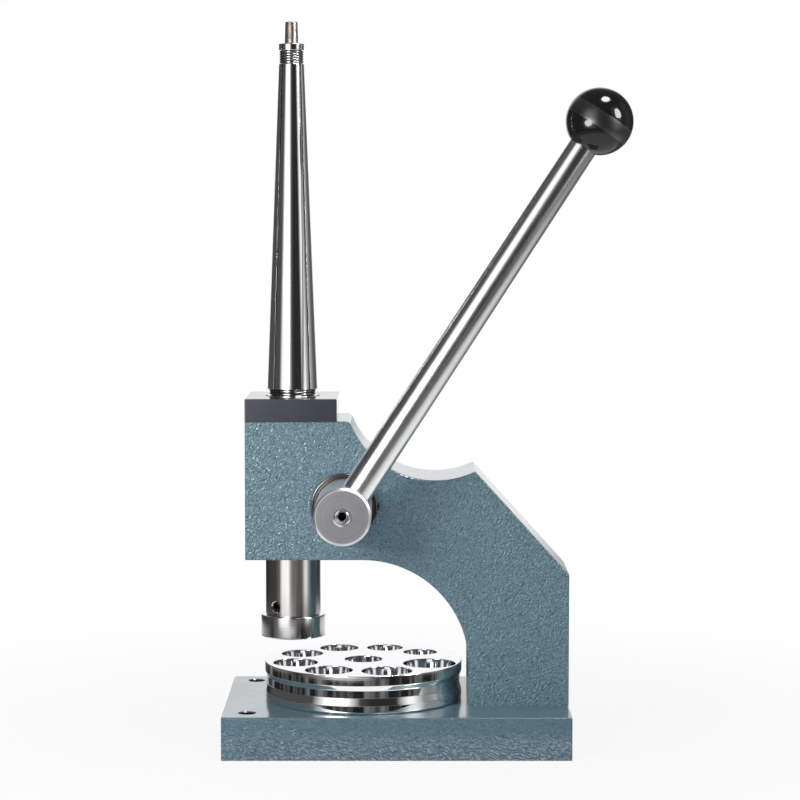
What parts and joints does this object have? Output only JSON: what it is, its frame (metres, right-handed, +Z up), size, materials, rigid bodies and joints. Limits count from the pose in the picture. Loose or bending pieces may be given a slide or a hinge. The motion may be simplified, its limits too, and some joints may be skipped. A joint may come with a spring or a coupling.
{
  "type": "ring stretcher and reducer",
  "caption": "Bench ring stretcher and reducer: a lever and rack move a ram over a graded die plate and drive a tapered rod up a split mandrel.",
  "frame": {"origin": "centre of the base plate's underside", "axes": "+Z up along the mandrel, +X from the ram towards the column, -Y the side of the lever"},
  "size_m": [0.196, 0.129, 0.3559],
  "materials": {
    "hammertone_paint": "hammertone enamel with a pebbled gloss",
    "slate_steel": "satin dark grey",
    "mirror_chrome": "mirror polished",
    "polished_steel": "polished",
    "turned_steel": "turned face",
    "black_steel": "black oxide",
    "brown_steel": "hardened, straw brown",
    "spring_steel": "drawn wire",
    "brass_insert": "machined",
    "black_knob": "high gloss"
  },
  "bodies": {
    "stand": {"base_plate": "hammertone_paint", "column_frame": "hammertone_paint", "column_screws": "black_steel", "mandrel_seat": "slate_steel", "seat_bush": "turned_steel", "bush_screw": "black_steel", "seat_screw": "black_steel", "die_post": "turned_steel", "die_post_screw": "black_steel", "upper_garter_spring": "spring_steel", "lower_garter_spring": "spring_steel"},
    "lever": {"pinion_shaft": "turned_steel", "retaining_collar": "black_steel", "collar_screw": "black_steel", "lever_lock_screw": "turned_steel", "lever_rod": "polished_steel", "ball_knob": "black_knob", "knob_insert": "brass_insert"},
    "ram": {"ram": "polished_steel", "ram_foot": "polished_steel", "foot_screw": "black_steel", "expander_rod": "brown_steel", "rod_lock_nut": "black_steel"},
    "die": {"reducing_die": "mirror_chrome"},
    "segment_right": {"mandrel_segment_right": "mirror_chrome"},
    "segment_back": {"mandrel_segment_back": "mirror_chrome"},
    "segment_left": {"mandrel_segment_left": "mirror_chrome"},
    "segment_front": {"mandrel_segment_front": "mirror_chrome"}
  },
  "joints": [
    {"name": "lever_turn", "type": "hinge", "parent": "stand", "child": "lever", "pos_m": [-0.0257, -0.058, 0.1198], "axis": [0, -1, 0], "range_deg": [-24.5, 48.6]},
    {"name": "ram_slide", "type": "slide", "parent": "stand", "child": "ram", "axis": [0, 0, -1], "range_m": [-0.006, 0.0119]},
    {"name": "die_turn", "type": "hinge", "parent": "stand", "child": "die", "pos_m": [-0.0167, 0, 0.021], "axis": [0, 0, 1], "continuous": true},
    {"name": "segment_right_slide", "type": "slide", "parent": "stand", "child": "segment_right", "axis": [1, 0, 0], "range_m": [-0.00036, 0.000182]},
    {"name": "segment_back_slide", "type": "slide", "parent": "stand", "child": "segment_back", "axis": [0, 1, 0], "range_m": [-0.00036, 0.000182]},
    {"name": "segment_left_slide", "type": "slide", "parent": "stand", "child": "segment_left", "axis": [-1, 0, 0], "range_m": [-0.00036, 0.000182]},
    {"name": "segment_front_slide", "type": "slide", "parent": "stand", "child": "segment_front", "axis": [0, -1, 0], "range_m": [-0.00036, 0.000182]}
  ],
  "couplings": [
    {"joint": "ram_slide", "follows": "lever_turn", "m_per_rad": 0.014},
    {"joint": "segment_right_slide", "follows": "lever_turn", "m_per_rad": -0.00042},
    {"joint": "segment_back_slide", "follows": "lever_turn", "m_per_rad": -0.00042},
    {"joint": "segment_left_slide", "follows": "lever_turn", "m_per_rad": -0.00042},
    {"joint": "segment_front_slide", "follows": "lever_turn", "m_per_rad": -0.00042}
  ]
}
